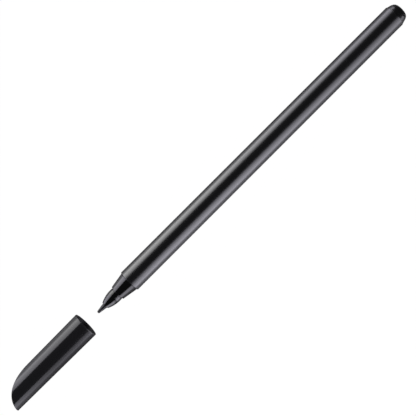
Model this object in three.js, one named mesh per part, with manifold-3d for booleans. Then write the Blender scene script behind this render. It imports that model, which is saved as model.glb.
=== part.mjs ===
// A felt-tip pen, with its cap pulled off and lying straight ahead of the nib.
// Sizes are in millimetres. +X runs from the cap's closed tip to the pen's rear end, and +Z is up.
// The origin is under the middle of the whole length, on the surface that the cap rests on.

import * as THREE from 'three';
import { mergeVertices } from 'three/addons/utils/BufferGeometryUtils.js';
import Module from 'manifold-3d';

// Barrel: a plain moulded tube, a little wider in front, with ribs that centre the ink reservoir.
const BARREL_LENGTH = 132.9;
const BARREL_RADIUS = 4.18;
const BARREL_SPREAD = 0.07;
const BARREL_WALL = 0.73;
const BARREL_FRONT_ROUND = 0.3;
const BARREL_REAR_ROUND = 0.12;
const BORE_LEAD_IN = 0.2;
const BARREL_RIB_COUNT = 6;
const BARREL_RIB_HEIGHT = 0.3;
const BARREL_RIB_WIDTH = 0.5;

// Front section: a cone, a neck and a rounded nose ahead of the barrel, a pressed shank inside it.
const NOSE_STEP = 0.36;
const CONE_LENGTH = 5.9;
const CONE_FRONT_EDGE = 0.12;
const NECK_LENGTH = 0.4;
const NECK_DEPTH = 0.1;
const LAND_RADIUS = 2.54;
const LAND_LENGTH = 1.5;
const LEDGE_HEIGHT = 0.4;
const NOSE_LENGTH = 4.3;
const NOSE_BULGE = 0.2;
const NOSE_RIM = 0.45;
const NOSE_FACE_ROUND = 0.15;
const SHANK_LENGTH = 12;
const SHANK_BAND = 2.5;
const SHANK_RELIEF = 0.15;
const SHANK_LEAD_IN = 0.5;
const POCKET_LENGTH = 8;
const POCKET_WALL = 1.1;
const FIN_COUNT = 4;
const FIN_THICKNESS = 0.6;
const FIN_SETBACK = 1.2;
const VENT_COUNT = 4;
const VENT_WIDTH = 0.35;
const VENT_DEPTH = 0.2;

// Nib: a rod of bonded fibre, ground to a rounded point in front and to a blunt one behind.
const NIB_RADIUS = 1;
const NIB_TIP_RADIUS = 0.48;
const NIB_PROUD = 3.65;
const NIB_COLLAR = 0.3;
const NIB_INSERT = 6;
const NIB_TAIL_LENGTH = 1.5;
const NIB_TAIL_RADIUS = 0.4;

// Ink reservoir: a fibre core in a film sleeve.
const FILM_THICKNESS = 0.12;
const FILM_SETBACK = 0.6;
const CORE_CHAMFER = 0.3;

// End plug: a pressed, hollow stopper with a rounded head.
const PLUG_STEP = 0.13;
const PLUG_TAPER_LENGTH = 1.3;
const PLUG_TAPER = 0.35;
const PLUG_CROWN_LENGTH = 1.85;
const PLUG_END_RADIUS = 2.1;
const PLUG_SHANK_LENGTH = 8;
const PLUG_BAND = 1.6;
const PLUG_RELIEF = 0.15;
const PLUG_HOLLOW_WALL = 0.9;
const PLUG_HOLLOW_DEPTH = 6.5;

// Cap: a tapered shell whose closed end is cut to a long curve on its +Y side.
const CAP_OVERLAP = 14.76;
const CAP_CLEARANCE = 0.18;
const CAP_WALL = 0.57;
const CAP_TAPER = 0.38;
const CAP_BORE_TAPER = 0.1;
const CAP_LIP_ROUND = 0.18;
const CAP_LIP_LEAD_IN = 0.2;
const CAP_NOSE_ROOM = 6.55;
const CAP_END_WALL = 0.9;
const CAP_CHIN_ROUND = 0.25;
const CUT_LENGTH = 14.5;
const CUT_SHOULDER = 12.3;
const CUT_CHIN = 2;
const CUT_LEAN = 1.5;
const GRIP_RIB_COUNT = 6;
const GRIP_RIB_WIDTH = 0.7;
const GRIP_RIB_LENGTH = 7;
const GRIP_RIB_DEPTH = 3;

// Cap liner: a sealing cup that closes round the nose and stops on the cone's front ledge.
const LINER_LIP_LENGTH = 1;
const LINER_WALL = 0.65;
const LINER_FLANGE_LENGTH = 1.2;
const LINER_GRIP_LENGTH = 2.2;
const LINER_END_RADIUS = 1.3;
const NIB_ROOM = 1;

// Fits: radial and axial gaps between the pieces, and the free space between pen and cap.
const PRESS_GAP = 0.03;
const SEAT_GAP = 0.05;
const SLIDE_GAP = 0.05;
const FIBRE_GAP = 0.05;
const END_PLAY = 0.3;
const CAP_AHEAD = 5.96;

// Flat sides that stand for a round surface, and the steps along a curved outline.
const ROUND_SIDES = 24;
const FINE_SIDES = 16;
const CURVE_STEPS = 7;
const CUT_STEPS = 14;

// Radii that follow from the sizes above.
const BORE_RADIUS = BARREL_RADIUS - BARREL_WALL;
const BARREL_FRONT_RADIUS = BARREL_RADIUS + BARREL_SPREAD;
const CONE_REAR_RADIUS = BARREL_FRONT_RADIUS - NOSE_STEP;
const CONE_FRONT_RADIUS = LAND_RADIUS + LEDGE_HEIGHT;
const SHANK_RADIUS = BORE_RADIUS - PRESS_GAP;
const NIB_BORE_RADIUS = NIB_RADIUS + FIBRE_GAP;
const NOSE_FACE_RADIUS = NIB_RADIUS + NOSE_RIM;
const FILM_RADIUS = BORE_RADIUS - BARREL_RIB_HEIGHT - FIBRE_GAP;
const CORE_RADIUS = FILM_RADIUS - FILM_THICKNESS - FIBRE_GAP / 2;
const CAP_BORE_RADIUS = BARREL_FRONT_RADIUS + CAP_CLEARANCE;
const CAP_RADIUS = CAP_BORE_RADIUS + CAP_WALL;
const CAP_TIP_RADIUS = CAP_RADIUS - CAP_TAPER;
const LINER_BORE_RADIUS = LAND_RADIUS + SLIDE_GAP;

// Places on the pen's axis, counted from the barrel's front face, with the nose on the minus side.
const CONE_FRONT = -CONE_LENGTH;
const LAND_REAR = CONE_FRONT - NECK_LENGTH;
const LAND_FRONT = LAND_REAR - LAND_LENGTH;
const NOSE_FACE = LAND_FRONT - NOSE_LENGTH;
const NIB_TIP = NOSE_FACE - NIB_PROUD;
const PLUG_FRONT = BARREL_LENGTH - PLUG_SHANK_LENGTH;
const PLUG_HEAD_LENGTH = PLUG_TAPER_LENGTH + PLUG_CROWN_LENGTH;
const PEN_REAR = BARREL_LENGTH + SEAT_GAP + PLUG_HEAD_LENGTH;
const CORE_FRONT = SHANK_LENGTH + END_PLAY;
const CORE_REAR = PLUG_FRONT - END_PLAY;

// Places in the cap, as depths from its mouth. The closed cap brings them to the pen's own places.
const LINER_LEDGE_DEPTH = CAP_OVERLAP - CONE_FRONT + SEAT_GAP;
const LINER_MOUTH_DEPTH = LINER_LEDGE_DEPTH - LINER_LIP_LENGTH;
const LINER_FLANGE_DEPTH = LINER_MOUTH_DEPTH + LINER_FLANGE_LENGTH;
const NOSE_FACE_DEPTH = CAP_OVERLAP - NOSE_FACE;
const LINER_FLOOR_DEPTH = CAP_OVERLAP - NIB_TIP + NIB_ROOM;
const LINER_END_DEPTH = LINER_FLOOR_DEPTH + LINER_WALL;
const CAP_LENGTH = LINER_END_DEPTH + CAP_NOSE_ROOM;
const CUT_DEPTH = CAP_LENGTH - CUT_LENGTH;

// Places of the two loose parts in the whole.
const WHOLE_LENGTH = CAP_LENGTH + CAP_AHEAD - NIB_TIP + PEN_REAR;
const PEN_X = WHOLE_LENGTH / 2 - PEN_REAR;
const CAP_X = PEN_X + NIB_TIP - CAP_AHEAD;
const AXIS_HEIGHT = CAP_RADIUS * Math.cos(Math.PI / ROUND_SIDES);

const wasm = await Module();
wasm.setup();

// A closed three.js geometry as a solid that can be joined and cut.
function solid(geometry) {
  const plain = geometry.clone();
  plain.deleteAttribute('normal');
  plain.deleteAttribute('uv');
  const merged = mergeVertices(plain);
  const corners = merged.getIndex().array;
  const kept = [];
  for (let i = 0; i < corners.length; i += 3) {
    const [a, b, c] = corners.slice(i, i + 3);
    if (a !== b && b !== c && c !== a) kept.push(a, b, c);
  }
  const mesh = new wasm.Mesh({
    numProp: 3,
    vertProperties: new Float32Array(merged.getAttribute('position').array),
    triVerts: new Uint32Array(kept),
  });
  return new wasm.Manifold(mesh);
}

// A named mesh from a finished solid.
function piece(name, shape, { color, roughness }) {
  const { vertProperties, triVerts } = shape.getMesh();
  const geometry = new THREE.BufferGeometry();
  geometry.setAttribute('position', new THREE.BufferAttribute(vertProperties, 3));
  geometry.setIndex(new THREE.BufferAttribute(triVerts, 1));
  geometry.computeVertexNormals();
  const mesh = new THREE.Mesh(geometry, new THREE.MeshStandardMaterial({ color, roughness, metalness: 0 }));
  mesh.name = name;
  return mesh;
}

// A turned solid about the X axis. The outline holds (place, radius) points, anticlockwise, and has
// both ends on the axis or closes on itself. A flat side faces down, so that the round piece can rest.
function turned(outline, sides = ROUND_SIDES) {
  const points = outline.getPoints(CURVE_STEPS).map((p) => new THREE.Vector2(p.y, p.x));
  const geometry = new THREE.LatheGeometry(points.reverse(), sides, Math.PI / sides);
  return solid(geometry.rotateZ(-Math.PI / 2));
}

// An outline through (place, radius) corners, for turned().
function corners(...places) {
  const path = new THREE.Path();
  path.moveTo(...places[0]);
  for (const place of places.slice(1)) path.lineTo(...place);
  return path;
}

// A straight bar along X between two places, standing between two radii, at an angle round the axis.
function bar(start, end, innerRadius, outerRadius, width, angle) {
  const box = new THREE.BoxGeometry(end - start, width, outerRadius - innerRadius);
  box.translate((start + end) / 2, 0, (innerRadius + outerRadius) / 2);
  return solid(box.rotateX(angle));
}

// The same bar repeated evenly round the axis, as a list of solids.
function barsRound(count, phase, start, end, innerRadius, outerRadius, width) {
  const angles = Array.from({ length: count }, (_, i) => phase + (2 * Math.PI * i) / count);
  return angles.map((angle) => bar(start, end, innerRadius, outerRadius, width, angle));
}

function joined(base, parts) {
  return parts.reduce((whole, part) => whole.add(part), base);
}

function cutBy(base, parts) {
  return parts.reduce((whole, part) => whole.subtract(part), base);
}

// Barrel: tube with a rounded front edge, lead-ins for the pressed shanks, and ribs between them.
function barrel() {
  const outline = new THREE.Path();
  outline.moveTo(BORE_LEAD_IN, BORE_RADIUS);
  outline.lineTo(BARREL_LENGTH - BORE_LEAD_IN, BORE_RADIUS);
  outline.lineTo(BARREL_LENGTH, BORE_RADIUS + BORE_LEAD_IN);
  outline.lineTo(BARREL_LENGTH, BARREL_RADIUS - BARREL_REAR_ROUND);
  outline.lineTo(BARREL_LENGTH - BARREL_REAR_ROUND, BARREL_RADIUS);
  outline.lineTo(BARREL_FRONT_ROUND, BARREL_FRONT_RADIUS);
  outline.quadraticCurveTo(0, BARREL_FRONT_RADIUS, 0, BARREL_FRONT_RADIUS - BARREL_FRONT_ROUND);
  outline.lineTo(0, BORE_RADIUS + BORE_LEAD_IN);
  outline.lineTo(BORE_LEAD_IN, BORE_RADIUS);
  const ribs = barsRound(
    BARREL_RIB_COUNT, 0,
    SHANK_LENGTH + SEAT_GAP, PLUG_FRONT - SEAT_GAP,
    BORE_RADIUS - BARREL_RIB_HEIGHT, BORE_RADIUS + BARREL_WALL / 2, BARREL_RIB_WIDTH,
  );
  return joined(turned(outline), ribs);
}

// Front section: the turned outside, hollowed behind by a pocket whose fins steady the nib, with a
// bore for the nib and fine grooves along it that let air back to the reservoir.
function frontSection() {
  const relief = SHANK_RADIUS - SHANK_RELIEF;
  const outside = new THREE.Path();
  outside.moveTo(SHANK_LENGTH, 0);
  outside.lineTo(SHANK_LENGTH, SHANK_RADIUS - SHANK_LEAD_IN / 2);
  outside.lineTo(SHANK_LENGTH - SHANK_LEAD_IN, SHANK_RADIUS);
  outside.lineTo(SHANK_LENGTH - SHANK_LEAD_IN - SHANK_BAND, SHANK_RADIUS);
  outside.lineTo(SHANK_LENGTH - SHANK_LEAD_IN - SHANK_BAND - SHANK_RELIEF, relief);
  outside.lineTo(SHANK_BAND + SHANK_RELIEF, relief);
  outside.lineTo(SHANK_BAND, SHANK_RADIUS);
  outside.lineTo(-SEAT_GAP, SHANK_RADIUS);
  outside.lineTo(-SEAT_GAP, CONE_REAR_RADIUS);
  outside.lineTo(CONE_FRONT + CONE_FRONT_EDGE, CONE_FRONT_RADIUS);
  outside.lineTo(CONE_FRONT, CONE_FRONT_RADIUS - CONE_FRONT_EDGE);
  outside.lineTo(CONE_FRONT, LAND_RADIUS - NECK_DEPTH);
  outside.lineTo(LAND_REAR + NECK_DEPTH, LAND_RADIUS - NECK_DEPTH);
  outside.lineTo(LAND_REAR, LAND_RADIUS);
  outside.lineTo(LAND_FRONT, LAND_RADIUS);
  outside.quadraticCurveTo(
    (LAND_FRONT + NOSE_FACE) / 2, (LAND_RADIUS + NOSE_FACE_RADIUS) / 2 + 2 * NOSE_BULGE,
    NOSE_FACE + NOSE_FACE_ROUND, NOSE_FACE_RADIUS,
  );
  outside.lineTo(NOSE_FACE, NOSE_FACE_RADIUS - NOSE_FACE_ROUND);
  outside.lineTo(NOSE_FACE, 0);

  const past = SEAT_GAP;
  const pocketFloor = SHANK_LENGTH - POCKET_LENGTH;
  const pocketRadius = SHANK_RADIUS - POCKET_WALL;
  const pocket = turned(corners(
    [SHANK_LENGTH + past, 0],
    [SHANK_LENGTH + past, pocketRadius],
    [pocketFloor, pocketRadius],
    [pocketFloor, 0],
  ));
  const fins = barsRound(
    FIN_COUNT, 0, pocketFloor - past, SHANK_LENGTH - FIN_SETBACK,
    0, pocketRadius + past, FIN_THICKNESS,
  );
  const bore = turned(corners(
    [SHANK_LENGTH + past, 0],
    [SHANK_LENGTH + past, NIB_BORE_RADIUS],
    [NOSE_FACE - past, NIB_BORE_RADIUS],
    [NOSE_FACE - past, 0],
  ), FINE_SIDES);
  const vents = barsRound(
    VENT_COUNT, Math.PI / VENT_COUNT, NOSE_FACE - past, pocketFloor + past,
    0, NIB_BORE_RADIUS + VENT_DEPTH, VENT_WIDTH,
  );
  return cutBy(joined(turned(outside).subtract(pocket), fins), [bore, ...vents]);
}

function nib() {
  const rear = CORE_FRONT + NIB_INSERT;
  const outline = new THREE.Path();
  outline.moveTo(rear, 0);
  outline.lineTo(rear, NIB_TAIL_RADIUS);
  outline.lineTo(rear - NIB_TAIL_LENGTH, NIB_RADIUS);
  outline.lineTo(NOSE_FACE - NIB_COLLAR, NIB_RADIUS);
  outline.lineTo(NIB_TIP + NIB_TIP_RADIUS, NIB_TIP_RADIUS);
  outline.quadraticCurveTo(NIB_TIP, NIB_TIP_RADIUS, NIB_TIP, 0);
  return turned(outline, FINE_SIDES);
}

// Reservoir core: a long rod of fibre, with the hollow that the nib's tail presses into its front.
function inkReservoir() {
  const hollow = CORE_FRONT + NIB_INSERT + END_PLAY;
  return turned(corners(
    [CORE_REAR, 0],
    [CORE_REAR, CORE_RADIUS - CORE_CHAMFER],
    [CORE_REAR - CORE_CHAMFER, CORE_RADIUS],
    [CORE_FRONT + CORE_CHAMFER, CORE_RADIUS],
    [CORE_FRONT, CORE_RADIUS - CORE_CHAMFER],
    [CORE_FRONT, NIB_BORE_RADIUS],
    [hollow, NIB_BORE_RADIUS],
    [hollow, 0],
  ));
}

function reservoirWrap() {
  const front = CORE_FRONT + FILM_SETBACK;
  const rear = CORE_REAR - FILM_SETBACK;
  const inner = FILM_RADIUS - FILM_THICKNESS;
  return turned(corners(
    [front, inner],
    [rear, inner],
    [rear, FILM_RADIUS],
    [front, FILM_RADIUS],
    [front, inner],
  ));
}

// End plug: rounded head on the barrel's rear face, banded shank in the bore, hollow from inside.
function endPlug() {
  const seat = BARREL_LENGTH + SEAT_GAP;
  const headRadius = BARREL_RADIUS - PLUG_STEP;
  const crown = seat + PLUG_TAPER_LENGTH;
  const crownRadius = headRadius - PLUG_TAPER;
  const slope = PLUG_TAPER / PLUG_TAPER_LENGTH;
  const relief = SHANK_RADIUS - PLUG_RELIEF;
  const hollowRadius = SHANK_RADIUS - PLUG_HOLLOW_WALL;
  const floor = PLUG_FRONT + PLUG_HOLLOW_DEPTH;
  const outline = new THREE.Path();
  outline.moveTo(PEN_REAR, 0);
  outline.lineTo(PEN_REAR, PLUG_END_RADIUS);
  outline.bezierCurveTo(
    PEN_REAR, (PLUG_END_RADIUS + crownRadius) / 2,
    crown + PLUG_CROWN_LENGTH / 2, crownRadius - (slope * PLUG_CROWN_LENGTH) / 2,
    crown, crownRadius,
  );
  outline.lineTo(seat, headRadius);
  outline.lineTo(seat, SHANK_RADIUS);
  outline.lineTo(seat - PLUG_BAND, SHANK_RADIUS);
  outline.lineTo(seat - PLUG_BAND - PLUG_RELIEF, relief);
  outline.lineTo(PLUG_FRONT + PLUG_BAND + PLUG_RELIEF, relief);
  outline.lineTo(PLUG_FRONT + PLUG_BAND, SHANK_RADIUS);
  outline.lineTo(PLUG_FRONT + PLUG_RELIEF, SHANK_RADIUS);
  outline.lineTo(PLUG_FRONT, relief);
  outline.lineTo(PLUG_FRONT, hollowRadius);
  outline.lineTo(floor, hollowRadius);
  outline.lineTo(floor, 0);
  return turned(outline);
}

function capOuterRadius(depth) {
  return CAP_RADIUS - (CAP_TAPER * depth) / CAP_LENGTH;
}

function capBoreRadius(depth) {
  return CAP_BORE_RADIUS - (CAP_BORE_TAPER * depth) / LINER_FLANGE_DEPTH;
}

// A block whose +Y side is the long curved cut of the cap's closed end, seen square from above.
// The curve leaves the tapered side along its slope and leans over to the tip of the far side.
function cutBlock() {
  const clear = 2 * CAP_RADIUS;
  const slope = CAP_TAPER / CAP_LENGTH;
  const startRadius = capOuterRadius(CUT_DEPTH);
  const outline = new THREE.Shape();
  outline.moveTo(clear, -clear);
  outline.lineTo(clear, clear);
  outline.lineTo(-CUT_DEPTH, clear);
  outline.lineTo(-CUT_DEPTH, startRadius);
  outline.bezierCurveTo(
    -CUT_DEPTH - CUT_SHOULDER, startRadius - slope * CUT_SHOULDER,
    CUT_LEAN - CAP_LENGTH, CUT_CHIN - CAP_TIP_RADIUS,
    -CAP_LENGTH, -CAP_TIP_RADIUS,
  );
  outline.lineTo(-CAP_LENGTH, -clear);
  const options = { depth: 2 * clear, bevelEnabled: false, curveSegments: CUT_STEPS };
  const block = new THREE.ExtrudeGeometry(outline, options);
  return solid(block.translate(0, 0, -clear));
}

// Cap shell: tapered outside and two-step bore, both closed by the same curved cut, the inner one
// set in by the end wall. Ribs inside the mouth grip the barrel, a ledge stops the liner.
function capShell() {
  const outline = new THREE.Path();
  outline.moveTo(0, 0);
  outline.lineTo(0, CAP_RADIUS - CAP_LIP_ROUND);
  outline.quadraticCurveTo(0, CAP_RADIUS, -CAP_LIP_ROUND, CAP_RADIUS);
  outline.lineTo(CAP_CHIN_ROUND - CAP_LENGTH, CAP_TIP_RADIUS);
  outline.quadraticCurveTo(-CAP_LENGTH, CAP_TIP_RADIUS, -CAP_LENGTH, CAP_TIP_RADIUS - CAP_CHIN_ROUND);
  outline.lineTo(-CAP_LENGTH, 0);
  const block = cutBlock();
  const outside = turned(outline).intersect(block);

  const past = SEAT_GAP;
  const floor = CAP_END_WALL - CAP_LENGTH;
  const mouthBore = turned(corners(
    [past, 0],
    [past, CAP_BORE_RADIUS + CAP_LIP_LEAD_IN],
    [0, CAP_BORE_RADIUS + CAP_LIP_LEAD_IN],
    [-CAP_LIP_LEAD_IN, CAP_BORE_RADIUS],
    [-LINER_FLANGE_DEPTH, capBoreRadius(LINER_FLANGE_DEPTH)],
    [-LINER_FLANGE_DEPTH, 0],
  ));
  const endHollow = turned(corners(
    [-LINER_MOUTH_DEPTH, 0],
    [-LINER_MOUTH_DEPTH, capOuterRadius(LINER_MOUTH_DEPTH) - CAP_END_WALL],
    [floor, CAP_TIP_RADIUS - CAP_END_WALL],
    [floor, 0],
  )).intersect(block.translate([CAP_END_WALL, -CAP_END_WALL, 0]));
  const ribRadius = BARREL_FRONT_RADIUS + SLIDE_GAP;
  const ribs = barsRound(
    GRIP_RIB_COUNT, Math.PI / GRIP_RIB_COUNT,
    -GRIP_RIB_DEPTH - GRIP_RIB_LENGTH, -GRIP_RIB_DEPTH,
    ribRadius, CAP_BORE_RADIUS + CAP_WALL / 2, GRIP_RIB_WIDTH,
  );
  return joined(cutBy(outside, [mouthBore, endHollow]), ribs);
}

// Cap liner: flange on the shell's ledge, a lip that takes the cone's front end, a bore that closes
// round the land, and a cup that narrows round the nib.
function capLiner() {
  const lipSlope = (CONE_REAR_RADIUS - CONE_FRONT_RADIUS) / CONE_LENGTH;
  const lipRadius = CONE_FRONT_RADIUS + 2 * SLIDE_GAP;
  const flange = capBoreRadius(LINER_MOUTH_DEPTH) - PRESS_GAP - CAP_BORE_TAPER;
  const gripEnd = LINER_LEDGE_DEPTH + LINER_GRIP_LENGTH;
  const cupRadius = LINER_BORE_RADIUS + LINER_WALL;
  const faceBore = (LINER_BORE_RADIUS + NOSE_FACE_RADIUS) / 2;
  const endBore = LINER_END_RADIUS;
  return turned(corners(
    [-LINER_FLOOR_DEPTH, 0],
    [-LINER_FLOOR_DEPTH, endBore / 2],
    [endBore / 2 - LINER_FLOOR_DEPTH, endBore],
    [-NOSE_FACE_DEPTH, faceBore],
    [-gripEnd, LINER_BORE_RADIUS],
    [-LINER_LEDGE_DEPTH, LINER_BORE_RADIUS],
    [-LINER_LEDGE_DEPTH, lipRadius],
    [-LINER_MOUTH_DEPTH, lipRadius + lipSlope * LINER_LIP_LENGTH],
    [-LINER_MOUTH_DEPTH, flange],
    [SEAT_GAP - LINER_FLANGE_DEPTH, flange],
    [SEAT_GAP - LINER_FLANGE_DEPTH, cupRadius],
    [-gripEnd, cupRadius],
    [-NOSE_FACE_DEPTH, faceBore + LINER_WALL],
    [endBore / 2 - LINER_FLOOR_DEPTH, endBore + LINER_WALL],
    [-LINER_END_DEPTH, endBore / 2],
    [-LINER_END_DEPTH, 0],
  ));
}

const BLACK_SATIN = { color: 0x1c1c1e, roughness: 0.38 };
const BLACK_GLOSS = { color: 0x161617, roughness: 0.22 };
const INKED_FIBRE = { color: 0x17161a, roughness: 0.85 };
const BLACK_INK_CORE = { color: 0x1b1a20, roughness: 0.95 };
const CLEAR_FILM = { color: 0xc9ccd2, roughness: 0.3 };
const NATURAL_LINER = { color: 0x232325, roughness: 0.45 };

const pen = new THREE.Group();
pen.position.set(PEN_X, 0, AXIS_HEIGHT);
pen.add(
  piece('barrel', barrel(), BLACK_SATIN),
  piece('front_section', frontSection(), BLACK_GLOSS),
  piece('nib', nib(), INKED_FIBRE),
  piece('ink_reservoir', inkReservoir(), BLACK_INK_CORE),
  piece('reservoir_wrap', reservoirWrap(), CLEAR_FILM),
  piece('end_plug', endPlug(), BLACK_SATIN),
);

const cap = new THREE.Group();
cap.position.set(CAP_X, 0, AXIS_HEIGHT);
cap.add(
  piece('cap_shell', capShell(), BLACK_GLOSS),
  piece('cap_liner', capLiner(), NATURAL_LINER),
);

const felt_tip_pen = new THREE.Group();
felt_tip_pen.add(pen, cap);

export default felt_tip_pen;
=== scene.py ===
import math

import bmesh
import bpy
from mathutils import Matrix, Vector
from mathutils.geometry import interpolate_bezier


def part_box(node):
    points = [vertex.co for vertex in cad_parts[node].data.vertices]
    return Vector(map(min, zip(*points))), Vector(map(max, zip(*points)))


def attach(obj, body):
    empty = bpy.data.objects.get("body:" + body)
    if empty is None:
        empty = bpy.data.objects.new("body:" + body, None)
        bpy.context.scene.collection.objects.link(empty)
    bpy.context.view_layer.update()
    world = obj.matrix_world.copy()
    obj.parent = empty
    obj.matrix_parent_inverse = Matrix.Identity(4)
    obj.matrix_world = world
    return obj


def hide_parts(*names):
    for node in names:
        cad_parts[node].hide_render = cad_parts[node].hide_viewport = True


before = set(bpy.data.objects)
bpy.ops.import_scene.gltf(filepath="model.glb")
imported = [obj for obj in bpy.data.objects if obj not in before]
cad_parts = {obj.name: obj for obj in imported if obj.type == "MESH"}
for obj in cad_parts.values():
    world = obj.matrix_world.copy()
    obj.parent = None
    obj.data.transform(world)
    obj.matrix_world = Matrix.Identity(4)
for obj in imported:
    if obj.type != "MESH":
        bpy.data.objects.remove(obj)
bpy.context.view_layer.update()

scene = bpy.context.scene
shell_lowest, shell_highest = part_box("cap_shell")
axis_height = (shell_lowest.z + shell_highest.z) / 2

# Table, lamps and view: the pen and its cap lie in line on a polished white table and are seen from
# straight above. Soft panels along both sides, dimmer towards their tops, draw the long bands on the
# black plastic. Nothing bright hangs overhead, so the middle of each piece stays dark.
CAP_RADIUS = 0.005
TABLE_SIDE = 40.0
TABLE_PARTS = 8
TABLE_COLOUR = (0.12, 0.12, 0.12, 1)
TABLE_GLOW = 1.075
TABLE_GLOW_SEEN = 0.93
TABLE_GLOW_MIRRORED = 0.05
TABLE_ROUGHNESS = 0.1
TABLE_IOR = 2.4
ROOM_FILL = 0.03
ROOM_MIRRORED = 0.02
PANEL_DISTANCE = 0.6
NEUTRAL = (1.0, 1.0, 1.0, 1)
COOL = (0.91, 0.892, 1.0, 1)
# For each panel: its name, the side of the pen that it stands on, its start and end along the pen, and
# its height. Then the two places between which its light changes from the first value of each pair to
# the second: the strengths at its foot, the strengths at its top, and the two colours.
PANELS = (
    ("left_panel", 1, -0.15, 0.55, 0.66, (0.0, 0.25), (5.6, 4.0), (0.8, 0.15), NEUTRAL, COOL),
    ("left_far_panel", 1, -1.3, -0.15, 0.7, (-0.3, -0.15), (4.5, 4.5), (2.4, 2.4), COOL, NEUTRAL),
    ("right_panel", -1, -0.15, 0.55, 1.15, (0.0, 0.25), (5.0, 3.2), (0.25, 0.1), COOL, COOL),
    ("right_far_panel", -1, -1.3, -0.15, 0.46, (-0.295, -0.225), (4.7, 1.6), (2.3, 0.65), COOL, COOL),
)
VIEW_PLACE = (0.00025, -0.00137)
VIEW_DISTANCE = 0.3929
VIEW_LENS = 95.9
VIEW_TURN = -math.pi / 4


def feed(tree, kind, links, **settings):
    """A new node with its settings, fed by name or number from sockets or plain values."""
    node = tree.nodes.new(kind)
    for key, value in settings.items():
        setattr(node, key, value)
    for socket, source in links.items():
        if isinstance(source, bpy.types.NodeSocket):
            tree.links.new(source, node.inputs[socket])
        else:
            node.inputs[socket].default_value = source
    return node


def maths(tree, operation, *values, **settings):
    """The result of a Math node."""
    node = feed(tree, "ShaderNodeMath", dict(enumerate(values)), operation=operation, **settings)
    return node.outputs[0]


def ramp(tree, value, start, end, first, last, **settings):
    """A value that goes from one level to another, given or linked, between two places."""
    links = {"Value": value, "From Min": start, "From Max": end, "To Min": first, "To Max": last}
    return feed(tree, "ShaderNodeMapRange", links, **settings).outputs["Result"]


def mixed_colour(tree, share, first, second):
    """A colour between two others. The Mix node's sockets for colours can only be told by number."""
    node = feed(tree, "ShaderNodeMix", {"Factor": share, 6: first, 7: second}, data_type="RGBA")
    return node.outputs[2]


def seen_share(tree, direct, mirrored):
    """A value that is one level for what the camera sees and another for what gloss mirrors."""
    path = tree.nodes.new("ShaderNodeLightPath").outputs
    mirrors = maths(tree, "MAXIMUM", path["Is Glossy Ray"], path["Is Transmission Ray"])
    dimmed = maths(tree, "MULTIPLY", mirrors, mirrored)
    return maths(tree, "MULTIPLY_ADD", path["Is Camera Ray"], direct, dimmed)


def empty_material(name):
    """A material without nodes, and its node tree."""
    material = bpy.data.materials.new(name)
    material.use_nodes = True
    material.node_tree.nodes.clear()
    return material, material.node_tree


table_paint, tree = empty_material("table_paint")
paint = feed(
    tree, "ShaderNodeBsdfPrincipled",
    {"Base Color": TABLE_COLOUR, "Roughness": TABLE_ROUGHNESS, "IOR": TABLE_IOR},
)
glow = feed(tree, "ShaderNodeEmission", {"Strength": TABLE_GLOW})
glow_share = seen_share(tree, TABLE_GLOW_SEEN, TABLE_GLOW_MIRRORED)
blend = feed(tree, "ShaderNodeMixShader", {"Fac": glow_share, 1: paint.outputs[0], 2: glow.outputs[0]})
feed(tree, "ShaderNodeOutputMaterial", {"Surface": blend.outputs[0]})

bm = bmesh.new()
bmesh.ops.create_grid(bm, x_segments=TABLE_PARTS, y_segments=TABLE_PARTS, size=TABLE_SIDE / 2)
bmesh.ops.translate(bm, verts=bm.verts, vec=(0, 0, axis_height - CAP_RADIUS))
table_mesh = bpy.data.meshes.new("table_top")
bm.to_mesh(table_mesh)
bm.free()
table_mesh.materials.append(table_paint)
table_top = bpy.data.objects.new("table_top", table_mesh)
scene.collection.objects.link(table_top)

room = bpy.data.worlds.new("room")
room.use_nodes = True
room.node_tree.nodes.clear()
room_share = seen_share(room.node_tree, 1 - ROOM_FILL, ROOM_MIRRORED)
room_level = maths(room.node_tree, "ADD", room_share, ROOM_FILL)
room_light = feed(room.node_tree, "ShaderNodeBackground", {"Strength": room_level})
feed(room.node_tree, "ShaderNodeOutputWorld", {"Surface": room_light.outputs[0]})
scene.world = room

for name, side, start, end, top, changes, foot_levels, top_levels, start_colour, end_colour in PANELS:
    lamp = bpy.data.lights.new(name, "AREA")
    lamp.shape = "RECTANGLE"
    lamp.size = end - start
    lamp.size_y = top
    # With this energy a panel of strength 1 is as bright as a white surface.
    lamp.energy = math.pi * lamp.size * lamp.size_y
    lamp.use_nodes = True
    tree = lamp.node_tree
    over_panel = tree.nodes.new("ShaderNodeNewGeometry").outputs["Parametric"]
    place = feed(tree, "ShaderNodeSeparateXYZ", {"Vector": over_panel}).outputs
    changes = [(change - start) / (end - start) for change in changes]
    foot_level = ramp(tree, place["X"], *changes, *foot_levels)
    top_level = ramp(tree, place["X"], *changes, *top_levels)
    levels = (top_level, foot_level) if side > 0 else (foot_level, top_level)
    strength = ramp(tree, place["Y"], 0, 1, *levels)
    colour = mixed_colour(tree, ramp(tree, place["X"], *changes, 0, 1), start_colour, end_colour)
    tree.links.new(strength, tree.nodes["Emission"].inputs["Strength"])
    tree.links.new(colour, tree.nodes["Emission"].inputs["Color"])
    panel = bpy.data.objects.new(name, lamp)
    panel.location = ((start + end) / 2, side * PANEL_DISTANCE, top / 2)
    panel.rotation_euler = (-side * math.pi / 2, 0, 0)
    panel.visible_camera = False
    scene.collection.objects.link(panel)

view = bpy.data.objects.new("view", bpy.data.cameras.new("view"))
view.data.lens = VIEW_LENS
view.location = (*VIEW_PLACE, axis_height + VIEW_DISTANCE)
view.rotation_euler = (0, 0, VIEW_TURN)
scene.collection.objects.link(view)
scene.camera = view
scene.view_settings.view_transform = "Standard"

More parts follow.
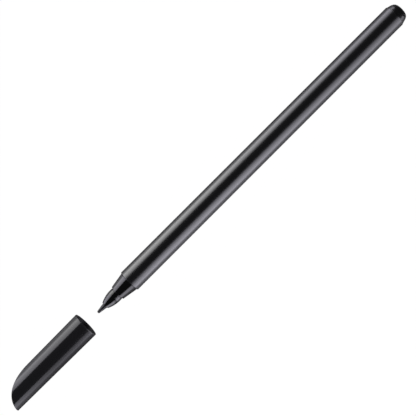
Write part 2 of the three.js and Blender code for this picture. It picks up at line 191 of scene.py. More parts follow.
# Barrel: a long tube of black polypropylene, injection moulded with a fine satin skin and closed by
# pressed pieces at both ends. Six low ribs inside it keep the ink reservoir centred.
BARREL_RADIUS = 0.00418
BARREL_FRONT_RADIUS = 0.00425
BARREL_WALL = 0.00073
BARREL_FRONT_ROUND = 0.0003
BARREL_REAR_ROUND = 0.00012
BORE_LEAD_IN = 0.0002
BARREL_RIB_COUNT = 6
BARREL_RIB_HEIGHT = 0.0003
BARREL_RIB_WIDTH = 0.0005
RIB_RAMP = 0.0002
SHANK_LENGTH = 0.012
PLUG_SHANK_LENGTH = 0.008
SEAT_GAP = 0.00005
TURNED_SIDES = 128
ROUNDING_STEPS = 5
CORNER_MARGIN = 0.0001
SHORTEST_MARGINED = 0.001
MERGE_DISTANCE = 0.0000005
WALL_TOLERANCE = 0.000002
SHARP_ANGLE = math.radians(38)
CLOUD_EDGES = (0.42, 0.62)
HAIR_EDGES = (0.66, 0.74)
HAIR_ROUGHNESS = 0.12
HAIR_DEPTH = 0.6
GRAIN_DEPTH = 0.00002
BARREL_BLACK = (0.0032, 0.0032, 0.0036, 1)
BARREL_RUBBED = (0.012, 0.012, 0.013, 1)


def turned(outline, closed=False):
    """A mesh turned about the pen's axis. The outline holds (place, radius, rounding) corners, and
    has both ends on the axis or, where it is closed, comes back to its first corner. A long edge
    gets a narrow margin at each end, which keeps the smooth shading of its corners narrow too."""
    bm = bmesh.new()
    corners = [bm.verts.new((place, 0, axis_height + radius)) for place, radius, _ in outline]
    ends = corners[1:] + corners[:1] if closed else corners[1:]
    for corner, end in zip(corners, ends):
        bm.edges.new((corner, end))
    for corner, (_, _, rounding) in zip(corners, outline):
        if rounding:
            bmesh.ops.bevel(
                bm, geom=[corner], affect="VERTICES", offset=rounding, offset_type="OFFSET",
                segments=ROUNDING_STEPS, profile=0.5, material=-1, clamp_overlap=True,
            )
    for edge in bm.edges[:]:
        corner, end = edge.verts
        if abs(end.co.x - corner.co.x) > SHORTEST_MARGINED:
            bmesh.utils.edge_split(edge, corner, CORNER_MARGIN / edge.calc_length())
            bmesh.utils.edge_split(edge, end, CORNER_MARGIN / edge.calc_length())
    bmesh.ops.spin(
        bm, geom=bm.verts[:] + bm.edges[:], cent=(0, 0, axis_height), axis=(1, 0, 0),
        angle=2 * math.pi, steps=TURNED_SIDES, use_merge=True,
    )
    bmesh.ops.remove_doubles(bm, verts=bm.verts[:], dist=MERGE_DISTANCE)
    bmesh.ops.recalc_face_normals(bm, faces=bm.faces[:])
    return bm


def move_wall(bm, start, end, wall, radius, count, width, phase=0.0):
    """Moves evenly spaced strips of a turned wall in or out, to make ribs or grooves along it."""
    pitch = 2 * math.pi / count
    for vert in bm.verts:
        across = Vector((0, vert.co.y, vert.co.z - axis_height))
        on_wall = abs(across.length - wall) < WALL_TOLERANCE
        if not on_wall or not start <= vert.co.x <= end:
            continue
        turn = (math.atan2(across.y, across.z) - phase) / pitch
        if abs(turn - round(turn)) * pitch * wall <= width / 2:
            across *= radius / across.length
            vert.co = (vert.co.x, across.y, axis_height + across.z)


def finished(name, bm, *materials):
    """The object made from a mesh, smooth but for its corners."""
    mesh = bpy.data.meshes.new(name)
    bm.to_mesh(mesh)
    bm.free()
    mesh.shade_smooth()
    mesh.set_sharp_from_angle(angle=SHARP_ANGLE)
    for material in materials:
        mesh.materials.append(material)
    piece = bpy.data.objects.new(name, mesh)
    scene.collection.objects.link(piece)
    return piece


def new_group(name, inputs, outputs):
    """A shader node group with named sockets, and its two ends."""
    tree = bpy.data.node_groups.new(name, "ShaderNodeTree")
    for socket, kind, value in inputs:
        made = tree.interface.new_socket(socket, in_out="INPUT", socket_type=kind)
        made.default_value = value
    for socket, kind in outputs:
        tree.interface.new_socket(socket, in_out="OUTPUT", socket_type=kind)
    return tree, tree.nodes.new("NodeGroupInput"), tree.nodes.new("NodeGroupOutput")


# The skin of a moulded plastic: a fine even grain, cloudy changes of gloss, and hair lines along the
# pen from sliding in and out of its cap and case.
moulded_skin, given, put_out = new_group(
    "moulded_skin",
    [
        ("Colour", "NodeSocketColor", (0.01, 0.01, 0.01, 1)),
        ("Rubbed Colour", "NodeSocketColor", (0.02, 0.02, 0.02, 1)),
        ("Roughness", "NodeSocketFloat", 0.3),
        ("Cloudiness", "NodeSocketFloat", 0.05),
        ("Grain Scale", "NodeSocketFloat", 4000.0),
        ("Hair Lines", "NodeSocketFloat", 0.5),
    ],
    [("Colour", "NodeSocketColor"), ("Roughness", "NodeSocketFloat"), ("Height", "NodeSocketFloat")],
)
where = moulded_skin.nodes.new("ShaderNodeTexCoord").outputs["Object"]
grain = feed(
    moulded_skin, "ShaderNodeTexNoise",
    {"Vector": where, "Scale": given.outputs["Grain Scale"], "Detail": 3.0, "Roughness": 0.6},
)
cloud = feed(
    moulded_skin, "ShaderNodeTexNoise",
    {"Vector": where, "Scale": 160.0, "Detail": 4.0, "Roughness": 0.55},
)
along = feed(moulded_skin, "ShaderNodeMapping", {"Vector": where, "Scale": (40.0, 5200.0, 5200.0)})
strand = feed(
    moulded_skin, "ShaderNodeTexNoise",
    {"Vector": along.outputs[0], "Scale": 1.0, "Detail": 2.0, "Distortion": 0.4},
)
smooth = {"interpolation_type": "SMOOTHSTEP"}
line = ramp(moulded_skin, strand.outputs["Fac"], *HAIR_EDGES, 0, 1, **smooth)
patch = ramp(moulded_skin, cloud.outputs["Fac"], *CLOUD_EDGES, 0, 1, **smooth)
broken = maths(moulded_skin, "MULTIPLY", line, patch)
hair = maths(moulded_skin, "MULTIPLY", broken, given.outputs["Hair Lines"])
colour = mixed_colour(moulded_skin, hair, given.outputs["Colour"], given.outputs["Rubbed Colour"])
centred = maths(moulded_skin, "SUBTRACT", cloud.outputs["Fac"], 0.5)
spread = maths(
    moulded_skin, "MULTIPLY_ADD", centred, given.outputs["Cloudiness"], given.outputs["Roughness"],
)
roughness = maths(moulded_skin, "MULTIPLY_ADD", hair, HAIR_ROUGHNESS, spread)
height = maths(moulded_skin, "MULTIPLY_ADD", hair, -HAIR_DEPTH, grain.outputs["Fac"])
moulded_skin.links.new(colour, put_out.inputs["Colour"])
moulded_skin.links.new(roughness, put_out.inputs["Roughness"])
moulded_skin.links.new(height, put_out.inputs["Height"])

# Wear at one place along the pen: a ring that fades over its reach and is broken into small patches.
edge_wear, given, put_out = new_group(
    "edge_wear",
    [
        ("Place", "NodeSocketFloat", 0.0),
        ("Reach", "NodeSocketFloat", 0.001),
        ("Amount", "NodeSocketFloat", 0.5),
    ],
    [("Mask", "NodeSocketFloat")],
)
where = edge_wear.nodes.new("ShaderNodeTexCoord").outputs["Object"]
place = feed(edge_wear, "ShaderNodeSeparateXYZ", {"Vector": where}).outputs
apart = maths(edge_wear, "ABSOLUTE", maths(edge_wear, "SUBTRACT", place["X"], given.outputs["Place"]))
near = ramp(edge_wear, apart, 0, given.outputs["Reach"], 1, 0, **smooth)
speckle = feed(
    edge_wear, "ShaderNodeTexNoise",
    {"Vector": where, "Scale": 1500.0, "Detail": 3.0, "Roughness": 0.7},
)
worn = maths(edge_wear, "MULTIPLY", near, speckle.outputs["Fac"])
mask = maths(edge_wear, "MULTIPLY", worn, given.outputs["Amount"], use_clamp=True)
edge_wear.links.new(mask, put_out.inputs["Mask"])


def moulded_plastic(name, colour, rubbed, roughness, gloss, cloudiness, grain, bump, worn_at):
    """A black moulded plastic with its skin, and wear at the places given as (place, reach, amount)."""
    material, tree = empty_material(name)
    skin = feed(
        tree, "ShaderNodeGroup",
        {
            "Colour": colour, "Rubbed Colour": rubbed, "Roughness": roughness,
            "Cloudiness": cloudiness, "Grain Scale": grain,
        },
        node_tree=moulded_skin,
    )
    tone = skin.outputs["Colour"]
    for place, reach, amount in worn_at:
        wear = feed(
            tree, "ShaderNodeGroup", {"Place": place, "Reach": reach, "Amount": amount},
            node_tree=edge_wear,
        )
        tone = mixed_colour(tree, wear.outputs["Mask"], tone, rubbed)
    relief = feed(
        tree, "ShaderNodeBump",
        {"Height": skin.outputs["Height"], "Strength": bump, "Distance": GRAIN_DEPTH},
    )
    plastic = feed(
        tree, "ShaderNodeBsdfPrincipled",
        {
            "Base Color": tone, "Roughness": skin.outputs["Roughness"],
            "Normal": relief.outputs[0], "Specular IOR Level": gloss,
        },
    )
    feed(tree, "ShaderNodeOutputMaterial", {"Surface": plastic.outputs[0]})
    return material


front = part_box("barrel")[0].x
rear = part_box("barrel")[1].x
bore = BARREL_RADIUS - BARREL_WALL
rib_start = front + SHANK_LENGTH + SEAT_GAP
rib_end = rear - PLUG_SHANK_LENGTH - SEAT_GAP
bm = turned([
    (front, bore + BORE_LEAD_IN, 0),
    (front, BARREL_FRONT_RADIUS, BARREL_FRONT_ROUND),
    (rear, BARREL_RADIUS, BARREL_REAR_ROUND),
    (rear, bore + BORE_LEAD_IN, 0),
    (rear - BORE_LEAD_IN, bore, 0),
    (rib_end, bore, 0),
    (rib_end - RIB_RAMP, bore, 0),
    (rib_start + RIB_RAMP, bore, 0),
    (rib_start, bore, 0),
    (front + BORE_LEAD_IN, bore, 0),
], closed=True)
move_wall(
    bm, rib_start + RIB_RAMP / 2, rib_end - RIB_RAMP / 2, bore, bore - BARREL_RIB_HEIGHT,
    BARREL_RIB_COUNT, BARREL_RIB_WIDTH,
)
barrel_plastic = moulded_plastic(
    "barrel_plastic", BARREL_BLACK, BARREL_RUBBED, roughness=0.23, gloss=0.88, cloudiness=0.04,
    grain=5200.0, bump=0.15, worn_at=[(front, 0.0012, 0.6), (rear, 0.0008, 0.5)],
)
barrel_tube = finished("barrel_tube", bm, barrel_plastic)
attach(barrel_tube, "pen")
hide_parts("barrel")

# End plug: a hollow stopper of the same plastic, pressed into the barrel's rear end until its rounded
# head seats on the rim. The small dimple in the middle of its flat end is where the mould was filled.
PLUG_STEP = 0.00013
PLUG_TAPER_LENGTH = 0.0013
PLUG_TAPER = 0.00035
PLUG_CROWN_LENGTH = 0.00185
PLUG_END_RADIUS = 0.0021
PLUG_BAND = 0.0016
PLUG_RELIEF = 0.00015
PLUG_HOLLOW_WALL = 0.0009
PLUG_HOLLOW_DEPTH = 0.0065
PRESS_GAP = 0.00003
PLUG_HEAD_ROUND = 0.00008
PLUG_MOUTH_ROUND = 0.0001
PLUG_FLOOR_ROUND = 0.0003
GATE_RADIUS = 0.0007
GATE_DEPTH = 0.00012
GATE_STUB_RADIUS = 0.00025
GATE_STUB_DEPTH = 0.00004
GATE_STUB_ROUND = 0.00005
CROWN_STEPS = 12
PLUG_BLACK = (0.003, 0.003, 0.0034, 1)
PLUG_RUBBED = (0.013, 0.013, 0.014, 1)


def curved(start, start_handle, end_handle, end, steps):
    """The (place, radius, rounding) corners along a curve between two points of an outline."""
    knots = [Vector((*point, 0)) for point in (start, start_handle, end_handle, end)]
    return [(point.x, point.y, 0) for point in interpolate_bezier(*knots, steps + 1)]


seat = rear + SEAT_GAP
pen_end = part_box("end_plug")[1].x
plug_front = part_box("end_plug")[0].x
head = BARREL_RADIUS - PLUG_STEP
crown = seat + PLUG_TAPER_LENGTH
crown_radius = head - PLUG_TAPER
crown_slope = PLUG_TAPER / PLUG_TAPER_LENGTH
shank = bore - PRESS_GAP
relief = shank - PLUG_RELIEF
hollow = shank - PLUG_HOLLOW_WALL
hollow_floor = plug_front + PLUG_HOLLOW_DEPTH
bm = turned([
    (pen_end - GATE_STUB_DEPTH, 0, 0),
    (pen_end - GATE_STUB_DEPTH, GATE_STUB_RADIUS, GATE_STUB_ROUND),
    (pen_end - GATE_DEPTH, GATE_STUB_RADIUS, 0),
    (pen_end - GATE_DEPTH, GATE_RADIUS - GATE_DEPTH, 0),
    (pen_end, GATE_RADIUS, 0),
    *curved(
        (pen_end, PLUG_END_RADIUS),
        (pen_end, (PLUG_END_RADIUS + crown_radius) / 2),
        (crown + PLUG_CROWN_LENGTH / 2, crown_radius - crown_slope * PLUG_CROWN_LENGTH / 2),
        (crown, crown_radius),
        CROWN_STEPS,
    ),
    (seat, head, PLUG_HEAD_ROUND),
    (seat, shank, 0),
    (seat - PLUG_BAND, shank, 0),
    (seat - PLUG_BAND - PLUG_RELIEF, relief, 0),
    (plug_front + PLUG_BAND + PLUG_RELIEF, relief, 0),
    (plug_front + PLUG_BAND, shank, 0),
    (plug_front + PLUG_RELIEF, shank, 0),
    (plug_front, relief, 0),
    (plug_front, hollow, PLUG_MOUTH_ROUND),
    (hollow_floor, hollow, PLUG_FLOOR_ROUND),
    (hollow_floor, 0, 0),
])
plug_plastic = moulded_plastic(
    "plug_plastic", PLUG_BLACK, PLUG_RUBBED, roughness=0.22, gloss=0.88, cloudiness=0.04,
    grain=5200.0, bump=0.15, worn_at=[(pen_end, 0.0012, 0.8)],
)
plug_moulding = finished("plug_moulding", bm, plug_plastic)
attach(plug_moulding, "pen")
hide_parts("end_plug")

# Front section: a polished black moulding pressed into the barrel's front end. Outside it is a cone,
# a narrow neck and a rounded nose, and behind them a pocket with four fins that steady the nib.
NOSE_STEP = 0.00036
CONE_LENGTH = 0.0059
CONE_FRONT_EDGE = 0.00012
NECK_LENGTH = 0.0004
NECK_DEPTH = 0.0001
LAND_RADIUS = 0.00254
LAND_LENGTH = 0.0015
LEDGE_HEIGHT = 0.0004
NOSE_BULGE = 0.0002
NOSE_FACE_RADIUS = 0.00145
NOSE_FACE_CHAMFER = 0.00015
NOSE_STEPS = 14
CONE_ROUND = 0.00006
EDGE_ROUND = 0.00005
FINE_ROUND = 0.00004
SHANK_BAND = 0.0025
SHANK_RELIEF = 0.00015
SHANK_LEAD_IN = 0.0005
POCKET_LENGTH = 0.008
POCKET_WALL = 0.0011
POCKET_MOUTH_ROUND = 0.0001
FIN_COUNT = 4
FIN_THICKNESS = 0.0006
FIN_SETBACK = 0.0012
VENT_COUNT = 4
VENT_WIDTH = 0.00035
VENT_DEPTH = 0.0002
NIB_BORE = 0.00105
SECTION_BLACK = (0.0012, 0.0012, 0.0014, 1)
SECTION_RUBBED = (0.008, 0.008, 0.009, 1)


def handle(point, bow):
    """The handle at one end of a curve that bends towards a place: two thirds of the way there."""
    return [near + (far - near) * 2 / 3 for near, far in zip(point, bow)]


nose_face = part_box("front_section")[0].x
shank_end = front + SHANK_LENGTH
cone_front = front - CONE_LENGTH
cone_radius = LAND_RADIUS + LEDGE_HEIGHT
cone_rear_radius = BARREL_FRONT_RADIUS - NOSE_STEP
land_rear = cone_front - NECK_LENGTH
land_front = land_rear - LAND_LENGTH
neck = LAND_RADIUS - NECK_DEPTH
nose_rear = (land_front, LAND_RADIUS)
nose_front = (nose_face + NOSE_FACE_CHAMFER, NOSE_FACE_RADIUS)
bow = ((land_front + nose_face) / 2, (LAND_RADIUS + NOSE_FACE_RADIUS) / 2 + 2 * NOSE_BULGE)
pocket_radius = shank - POCKET_WALL
pocket_floor = shank_end - POCKET_LENGTH
section_relief = shank - SHANK_RELIEF
bm = turned([
    (shank_end, pocket_radius, POCKET_MOUTH_ROUND),
    (shank_end, shank - SHANK_LEAD_IN / 2, 0),
    (shank_end - SHANK_LEAD_IN, shank, 0),
    (shank_end - SHANK_LEAD_IN - SHANK_BAND, shank, 0),
    (shank_end - SHANK_LEAD_IN - SHANK_BAND - SHANK_RELIEF, section_relief, 0),
    (front + SHANK_BAND + SHANK_RELIEF, section_relief, 0),
    (front + SHANK_BAND, shank, 0),
    (front - SEAT_GAP, shank, 0),
    (front - SEAT_GAP, cone_rear_radius, CONE_ROUND),
    (cone_front + CONE_FRONT_EDGE, cone_radius, CONE_ROUND),
    (cone_front, cone_radius - CONE_FRONT_EDGE, EDGE_ROUND),
    (cone_front, neck, EDGE_ROUND),
    (land_rear + NECK_DEPTH, neck, FINE_ROUND),
    (land_rear, LAND_RADIUS, EDGE_ROUND),
    *curved(nose_rear, handle(nose_rear, bow), handle(nose_front, bow), nose_front, NOSE_STEPS),
    (nose_face, NOSE_FACE_RADIUS - NOSE_FACE_CHAMFER, FINE_ROUND),
    (nose_face, NIB_BORE, 0),
    (pocket_floor, NIB_BORE, 0),
    (pocket_floor, pocket_radius, 0),
    (shank_end - FIN_SETBACK, pocket_radius, 0),
    (shank_end - FIN_SETBACK + RIB_RAMP, pocket_radius, 0),
], closed=True)
move_wall(
    bm, pocket_floor - RIB_RAMP, shank_end - FIN_SETBACK + RIB_RAMP / 2, pocket_radius, NIB_BORE,
    FIN_COUNT, FIN_THICKNESS,
)
move_wall(
    bm, nose_face - RIB_RAMP, nose_face + RIB_RAMP, NIB_BORE, NIB_BORE + VENT_DEPTH,
    VENT_COUNT, VENT_WIDTH, phase=math.pi / VENT_COUNT,
)
bmesh.ops.remove_doubles(bm, verts=bm.verts[:], dist=MERGE_DISTANCE)
section_plastic = moulded_plastic(
    "section_plastic", SECTION_BLACK, SECTION_RUBBED, roughness=0.12, gloss=0.65, cloudiness=0.04,
    grain=3600.0, bump=0.06,
    worn_at=[(nose_face, 0.0009, 0.8), (cone_front, 0.0003, 0.7), (front, 0.0004, 0.4)],
)
section_moulding = finished("section_moulding", bm, section_plastic)
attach(section_moulding, "pen")
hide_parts("front_section")

# Nib: a two-millimetre rod of bonded polyester fibres, ground to a round point. It stands in the nose
# bore, and its blunt tail is pushed into the reservoir. Black ink fills the channels between fibres.
NIB_RADIUS = 0.001
NIB_TIP_RADIUS = 0.0004704
NIB_TIP_ROUND = 0.00036
NIB_COLLAR = 0.0003
NIB_COLLAR_ROUND = 0.0001
NIB_TAIL_LENGTH = 0.0015
NIB_TAIL_RADIUS = 0.0004
NIB_TAPER_ROUND = 0.0002
NIB_TAIL_ROUND = 0.0001
FIBRE_EDGES = (0.4, 0.68)
FIBRE_GLOSS_EDGES = (0.3, 0.7)
FIBRE_ROUGHNESS = (0.2, 0.5)
FIBRE_DEPTH = 0.00003
NIB_BLACK = (0.003, 0.003, 0.0035, 1)
NIB_GREY = (0.009, 0.0085, 0.01, 1)

# Fibres that run along the pen: streaks of two tones, and their height for a bump.
fibre_streaks, given, put_out = new_group(
    "fibre_streaks",
    [
        ("Dark", "NodeSocketColor", (0.01, 0.01, 0.01, 1)),
        ("Light", "NodeSocketColor", (0.03, 0.03, 0.03, 1)),
        ("Streak Scale", "NodeSocketFloat", 1.0),
    ],
    [("Colour", "NodeSocketColor"), ("Roughness", "NodeSocketFloat"), ("Height", "NodeSocketFloat")],
)
where = fibre_streaks.nodes.new("ShaderNodeTexCoord").outputs["Object"]
drawn = feed(fibre_streaks, "ShaderNodeMapping", {"Vector": where, "Scale": (700.0, 16000.0, 16000.0)})
fibre = feed(
    fibre_streaks, "ShaderNodeTexNoise",
    {
        "Vector": drawn.outputs[0], "Scale": given.outputs["Streak Scale"], "Detail": 4.0,
        "Roughness": 0.6,
    },
)
light_share = ramp(fibre_streaks, fibre.outputs["Fac"], *FIBRE_EDGES, 0, 1)
tone = mixed_colour(fibre_streaks, light_share, given.outputs["Dark"], given.outputs["Light"])
damp = ramp(fibre_streaks, fibre.outputs["Fac"], *FIBRE_GLOSS_EDGES, *FIBRE_ROUGHNESS)
fibre_streaks.links.new(tone, put_out.inputs["Colour"])
fibre_streaks.links.new(damp, put_out.inputs["Roughness"])
fibre_streaks.links.new(fibre.outputs["Fac"], put_out.inputs["Height"])


def inked_fibre(name, dark, light, streaks, gloss):
    """A bundle of fibres soaked with ink."""
    material, tree = empty_material(name)
    threads = feed(
        tree, "ShaderNodeGroup", {"Dark": dark, "Light": light, "Streak Scale": streaks},
        node_tree=fibre_streaks,
    )
    relief = feed(
        tree, "ShaderNodeBump",
        {"Height": threads.outputs["Height"], "Strength": 0.5, "Distance": FIBRE_DEPTH},
    )
    fibre = feed(
        tree, "ShaderNodeBsdfPrincipled",
        {
            "Base Color": threads.outputs["Colour"], "Roughness": threads.outputs["Roughness"],
            "Normal": relief.outputs[0], "Specular IOR Level": gloss,
        },
    )
    feed(tree, "ShaderNodeOutputMaterial", {"Surface": fibre.outputs[0]})
    return material


nib_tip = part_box("nib")[0].x
nib_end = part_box("nib")[1].x
bm = turned([
    (nib_tip, 0, 0),
    (nib_tip, NIB_TIP_RADIUS, NIB_TIP_ROUND),
    (nose_face - NIB_COLLAR, NIB_RADIUS, NIB_COLLAR_ROUND),
    (nib_end - NIB_TAIL_LENGTH, NIB_RADIUS, NIB_TAPER_ROUND),
    (nib_end, NIB_TAIL_RADIUS, NIB_TAIL_ROUND),
    (nib_end, 0, 0),
])
nib_fibre = inked_fibre("nib_fibre", NIB_BLACK, NIB_GREY, streaks=1.0, gloss=0.5)
fibre_nib = finished("fibre_nib", bm, nib_fibre)
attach(fibre_nib, "pen")
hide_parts("nib")

# Ink reservoir: a long rod of loose polyester fibre that holds the ink. It lies in the closed barrel
# between the section's shank and the plug, and the nib's tail reaches into it.
CORE_BLACK = (0.008, 0.0075, 0.0095, 1)
CORE_GREY = (0.045, 0.042, 0.05, 1)

reservoir_fibre = inked_fibre("reservoir_fibre", CORE_BLACK, CORE_GREY, streaks=0.45, gloss=0.3)
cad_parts["ink_reservoir"].material_slots[0].material = reservoir_fibre

# Reservoir film: a thin clear sleeve round the fibre rod, a little creased and hazy. It is pushed into
# the barrel from behind together with the rod, before the plug.
FILM_TINT = (0.75, 0.77, 0.8, 1)
CREASE_EDGES = (0.3, 0.7)
CREASE_ROUGHNESS = (0.12, 0.32)
CREASE_ALPHA = (0.3, 0.5)
CREASE_DEPTH = 0.00005

reservoir_film, tree = empty_material("reservoir_film")
where = tree.nodes.new("ShaderNodeTexCoord").outputs["Object"]
drawn = feed(tree, "ShaderNodeMapping", {"Vector": where, "Scale": (90.0, 900.0, 900.0)})
crease = feed(tree, "ShaderNodeTexNoise", {"Vector": drawn.outputs[0], "Scale": 1.0, "Detail": 3.0})
crease = crease.outputs["Fac"]
relief = feed(
    tree, "ShaderNodeBump", {"Height": crease, "Strength": 0.4, "Distance": CREASE_DEPTH},
)
film = feed(
    tree, "ShaderNodeBsdfPrincipled",
    {
        "Base Color": FILM_TINT, "Roughness": ramp(tree, crease, *CREASE_EDGES, *CREASE_ROUGHNESS),
        "Alpha": ramp(tree, crease, *CREASE_EDGES, *CREASE_ALPHA), "Normal": relief.outputs[0],
    },
)
feed(tree, "ShaderNodeOutputMaterial", {"Surface": film.outputs[0]})
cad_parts["reservoir_wrap"].material_slots[0].material = reservoir_film

# Cap: a tapered shell of the same black plastic with a polished outside. Its closed end is cut to a
# long curve on one side, and its wall follows that curve inside. Six low ribs in its mouth grip the
# barrel. It is built as a row of rings, from the closed end to the mouth and back along the inside.
CAP_LENGTH = 0.03871
CAP_CLEARANCE = 0.00018
CAP_TAPER = 0.00038
CAP_BORE_TAPER = 0.0001
CAP_LIP_ROUND = 0.00018
CAP_LIP_LEAD_IN = 0.0002
CAP_END_WALL = 0.0009
CAP_CHIN_ROUND = 0.00025
CAP_RIM_ROUND = 0.0002
CUT_LENGTH = 0.0145
CUT_SHOULDER = 0.0123
CUT_CHIN = 0.002
CUT_LEAN = 0.0015
CUT_STEPS = 56
LINER_FLANGE_DEPTH = 0.02091
LINER_MOUTH_DEPTH = 0.01971
GRIP_RIB_COUNT = 6
GRIP_RIB_WIDTH = 0.0007
GRIP_RIB_LENGTH = 0.007
GRIP_RIB_DEPTH = 0.003
SLIDE_GAP = 0.00005
FLAT_PARTS = 16
RIM_PARTS = 5
ROUND_PARTS = 120
RING_PARTS = FLAT_PARTS + ROUND_PARTS + 2 * RIM_PARTS
LARGEST_ROUND_SHARE = 0.49
SLIVER_MERGE_DISTANCE = 0.000005
INSIDE_SLOT = 1
CAP_BLACK = (0.0092, 0.0092, 0.01, 1)
CAP_RUBBED = (0.03, 0.03, 0.032, 1)
CAP_INSIDE_BLACK = (0.011, 0.011, 0.012, 1)

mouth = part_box("cap_shell")[1].x
tip_radius = CAP_RADIUS - CAP_TAPER
cap_bore = BARREL_FRONT_RADIUS + CAP_CLEARANCE


def outer_radius(depth):
    """The cap's outside: a long taper, rounded off at the lip and at the chin of the closed end."""
    radius = CAP_RADIUS - CAP_TAPER * depth / CAP_LENGTH
    into_lip = max(0, CAP_LIP_ROUND - depth)
    into_chin = max(0, depth - CAP_LENGTH + CAP_CHIN_ROUND)
    radius -= CAP_LIP_ROUND - math.sqrt(CAP_LIP_ROUND**2 - into_lip**2)
    return radius - CAP_CHIN_ROUND + math.sqrt(max(0, CAP_CHIN_ROUND**2 - into_chin**2))


def bore_radius(depth):
    """The cap's bore, which narrows a little from the mouth to the liner's ledge."""
    return cap_bore - CAP_BORE_TAPER * depth / LINER_FLANGE_DEPTH


def hollow_radius(depth):
    """The end hollow of the cap, which keeps the end wall's thickness."""
    share = (depth - LINER_MOUTH_DEPTH) / (CAP_LENGTH - CAP_END_WALL - LINER_MOUTH_DEPTH)
    widest = CAP_RADIUS - CAP_TAPER * LINER_MOUTH_DEPTH / CAP_LENGTH - CAP_END_WALL
    return widest + share * (tip_radius - CAP_END_WALL - widest)


def section_points(radius, flat):
    """Points (across, up) round one section of the cap, which has one flat side between rounded
    corners. Towards the closed end it narrows to a sliver, and its corners shrink with it."""
    rounding = min(CAP_RIM_ROUND, (radius + flat) * LARGEST_ROUND_SHARE)
    inner = radius - rounding
    middle = flat - rounding
    corner = math.acos(max(-1, min(1, middle / inner)))
    half = inner * math.sin(corner)
    points = [(flat, half * (2 * part / FLAT_PARTS - 1)) for part in range(FLAT_PARTS)]
    for part in range(RIM_PARTS):
        angle = corner * part / RIM_PARTS
        points.append((middle + rounding * math.cos(angle), half + rounding * math.sin(angle)))
    for part in range(ROUND_PARTS):
        angle = corner + (2 * math.pi - 2 * corner) * part / ROUND_PARTS
        points.append((radius * math.cos(angle), radius * math.sin(angle)))
    for part in range(RIM_PARTS):
        angle = corner * (1 - part / RIM_PARTS)
        points.append((middle + rounding * math.cos(angle), -half - rounding * math.sin(angle)))
    return points


cut_start = CAP_LENGTH - CUT_LENGTH
slope = CAP_TAPER / CAP_LENGTH
start_radius = CAP_RADIUS - slope * cut_start
cut = curved(
    (cut_start, start_radius),
    (cut_start + CUT_SHOULDER, start_radius - slope * CUT_SHOULDER),
    (CAP_LENGTH - CUT_LEAN, CUT_CHIN - tip_radius),
    (CAP_LENGTH, -tip_radius),
    CUT_STEPS,
)
# Each ring of the shell is its depth from the mouth, its radius, and how far its flat side is out.
outside = [
    (depth, outer_radius(depth), min(flat, outer_radius(depth)))
    for depth, flat, _ in reversed(cut)
    if flat > -outer_radius(depth)
]
lip_turns = [math.pi / 2 * step / ROUNDING_STEPS for step in range(ROUNDING_STEPS + 1)]
lip_depths = [CAP_LIP_ROUND * (1 - math.sin(turn)) for turn in lip_turns]
for depth in [cut_start / 2, CAP_LIP_ROUND + CORNER_MARGIN] + lip_depths:
    outside.append((depth, outer_radius(depth), outer_radius(depth)))
rib_rear = GRIP_RIB_DEPTH + GRIP_RIB_LENGTH
rib_places = (GRIP_RIB_DEPTH + RIB_RAMP, rib_rear - RIB_RAMP)
inside = [(0, cap_bore + CAP_LIP_LEAD_IN), (CAP_LIP_LEAD_IN, cap_bore)]
for depth in (GRIP_RIB_DEPTH, *rib_places, rib_rear, LINER_FLANGE_DEPTH):
    inside.append((depth, bore_radius(depth)))
inside.append((LINER_FLANGE_DEPTH, hollow_radius(LINER_FLANGE_DEPTH)))
inside = [(depth, radius, radius) for depth, radius in inside]
for depth, flat, _ in cut:
    radius = hollow_radius(depth - CAP_END_WALL)
    if flat - CAP_END_WALL > -radius:
        inside.append((depth - CAP_END_WALL, radius, min(flat - CAP_END_WALL, radius)))

# Every ring grows from the one before it, and each point hands on its number in the ring.
bm = bmesh.new()
part_of = bm.verts.layers.int.new("part_of")
ring = bmesh.ops.create_circle(bm, segments=RING_PARTS, radius=CAP_RADIUS)["verts"]
for number, vert in enumerate(ring):
    vert[part_of] = number
edges = bm.edges[:]
for number, (depth, radius, flat) in enumerate(outside + inside):
    if number:
        grown = bmesh.ops.extrude_edge_only(bm, edges=edges)["geom"]
        ring = [item for item in grown if isinstance(item, bmesh.types.BMVert)]
        edges = [item for item in grown if isinstance(item, bmesh.types.BMEdge)]
        edges = [edge for edge in edges if all(vert in ring for vert in edge.verts)]
        if number > len(outside):
            for face in {face for edge in edges for face in edge.link_faces}:
                face.material_index = INSIDE_SLOT
    around = section_points(radius, flat)
    for vert in ring:
        across, up = around[vert[part_of]]
        vert.co = (mouth - depth, across, axis_height + up)
bmesh.ops.remove_doubles(bm, verts=bm.verts[:], dist=SLIVER_MERGE_DISTANCE)
for depth in rib_places:
    move_wall(
        bm, mouth - depth - RIB_RAMP / 2, mouth - depth + RIB_RAMP / 2,
        bore_radius(depth), BARREL_FRONT_RADIUS + SLIDE_GAP,
        GRIP_RIB_COUNT, GRIP_RIB_WIDTH, phase=math.pi / GRIP_RIB_COUNT,
    )
bmesh.ops.holes_fill(bm, edges=[edge for edge in bm.edges if edge.is_boundary], sides=0)
bmesh.ops.recalc_face_normals(bm, faces=bm.faces[:])
cap_plastic = moulded_plastic(
    "cap_plastic", CAP_BLACK, CAP_RUBBED, roughness=0.14, gloss=0.5, cloudiness=0.05,
    grain=4200.0, bump=0.1,
    worn_at=[(mouth, 0.0007, 0.7), (mouth - CAP_LENGTH, 0.0012, 0.6)],
)
cap_inside_plastic = moulded_plastic(
    "cap_inside_plastic", CAP_INSIDE_BLACK, CAP_RUBBED, roughness=0.42, gloss=0.5, cloudiness=0.1,
    grain=2600.0, bump=0.3, worn_at=[(mouth - rib_rear, 0.004, 0.4)],
)
cap_moulding = finished("cap_moulding", bm, cap_plastic, cap_inside_plastic)
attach(cap_moulding, "cap")
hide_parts("cap_shell")

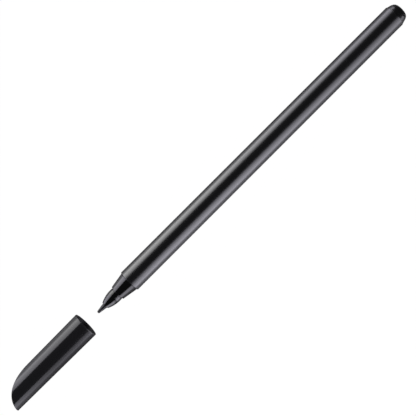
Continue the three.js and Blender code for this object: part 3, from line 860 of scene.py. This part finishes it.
# Cap liner: a small black cup of soft polyethylene, pressed into the cap against the ledge of its bore.
# Its lip closes round the nose when the cap is on, so that the nib doesn't dry.
LINER_LEDGE_DEPTH = 0.02071
LINER_LIP_LENGTH = 0.001
LINER_WALL = 0.00065
LINER_GRIP_LENGTH = 0.0022
LINER_END_RADIUS = 0.0013
LINER_CUP_ROUND = 0.0004
LINER_END_ROUND = 0.0003
LINER_FLANGE_FILLET = 0.0002
LINER_FLANGE_FRONT_ROUND = 0.00015
LINER_FLANGE_ROUND = 0.0001
LINER_LEDGE_ROUND = 0.00006
NOSE_FACE_DEPTH = 0.02686
LINER_BLACK = (0.013, 0.013, 0.014, 1)
LINER_RUBBED = (0.02, 0.02, 0.021, 1)

liner_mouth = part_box("cap_liner")[1].x
liner_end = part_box("cap_liner")[0].x
liner_floor = liner_end + LINER_WALL
liner_bore = LAND_RADIUS + SLIDE_GAP
lip_slope = (cone_rear_radius - cone_radius) / CONE_LENGTH
lip_radius = cone_radius + 2 * SLIDE_GAP
flange = bore_radius(LINER_MOUTH_DEPTH) - PRESS_GAP - CAP_BORE_TAPER
flange_rear = mouth - LINER_FLANGE_DEPTH + SEAT_GAP
ledge = mouth - LINER_LEDGE_DEPTH
grip_end = ledge - LINER_GRIP_LENGTH
nose_stop = mouth - NOSE_FACE_DEPTH
face_bore = (liner_bore + NOSE_FACE_RADIUS) / 2
cup_radius = liner_bore + LINER_WALL
bm = turned([
    (liner_floor, 0, 0),
    (liner_floor, LINER_END_RADIUS / 2, LINER_END_ROUND),
    (liner_floor + LINER_END_RADIUS / 2, LINER_END_RADIUS, LINER_END_ROUND),
    (nose_stop, face_bore, LINER_CUP_ROUND),
    (grip_end, liner_bore, LINER_CUP_ROUND),
    (ledge, liner_bore, LINER_LEDGE_ROUND),
    (ledge, lip_radius, FINE_ROUND),
    (liner_mouth, lip_radius + lip_slope * LINER_LIP_LENGTH, LINER_FLANGE_ROUND),
    (liner_mouth, flange, LINER_FLANGE_FRONT_ROUND),
    (flange_rear, flange, LINER_FLANGE_ROUND),
    (flange_rear, cup_radius, LINER_FLANGE_FILLET),
    (grip_end, cup_radius, LINER_CUP_ROUND),
    (nose_stop, face_bore + LINER_WALL, LINER_CUP_ROUND),
    (liner_floor + LINER_END_RADIUS / 2, LINER_END_RADIUS + LINER_WALL, LINER_CUP_ROUND),
    (liner_end, LINER_END_RADIUS / 2, LINER_END_ROUND),
    (liner_end, 0, 0),
])
liner_plastic = moulded_plastic(
    "liner_plastic", LINER_BLACK, LINER_RUBBED, roughness=0.48, gloss=0.5, cloudiness=0.12,
    grain=2200.0, bump=0.3, worn_at=[(liner_mouth, 0.0006, 0.6)],
)
liner_moulding = finished("liner_moulding", bm, liner_plastic)
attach(liner_moulding, "cap")
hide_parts("cap_liner")
